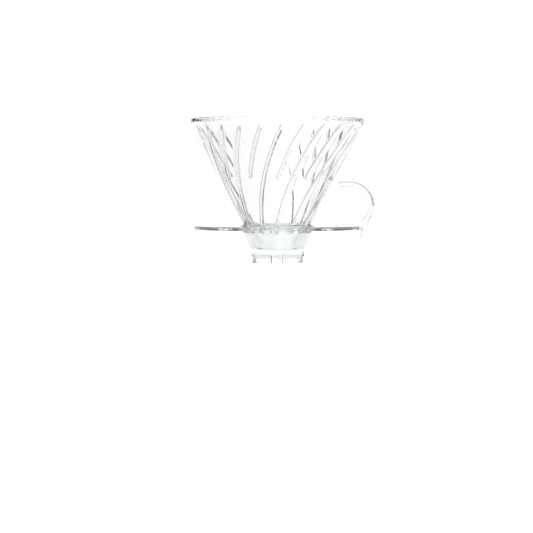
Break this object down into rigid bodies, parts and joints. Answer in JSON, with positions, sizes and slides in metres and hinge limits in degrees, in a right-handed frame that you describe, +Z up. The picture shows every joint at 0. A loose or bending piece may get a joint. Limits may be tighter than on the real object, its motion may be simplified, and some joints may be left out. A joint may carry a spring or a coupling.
{
  "type": "pour over coffee dripper",
  "caption": "Clear conical pour over dripper with spiral ribs inside, a round base plate, an outlet collar under it and an open hook handle.",
  "frame": {"origin": "under the middle of the object's box, level with the collar's foot; the cone's axis stands 3.7 mm towards -X", "axes": "+X towards the handle, +Z up along the cone's axis"},
  "size_m": [0.1234, 0.116, 0.096],
  "materials": {
    "clear_cone": "polished clear moulding",
    "clear_plate": "polished clear moulding, faint violet grey at the edge",
    "clear_collar": "polished clear moulding",
    "clear_handle": "polished clear moulding"
  },
  "bodies": {
    "base": {"base_plate": "clear_plate", "server_collar": "clear_collar", "handle": "clear_handle"},
    "cone": {"brewing_cone": "clear_cone"}
  },
  "joints": [
    {"name": "cone_lift", "type": "slide", "parent": "base", "child": "cone", "axis": [0, 0, 1], "range_m": [0, 0.04]}
  ]
}
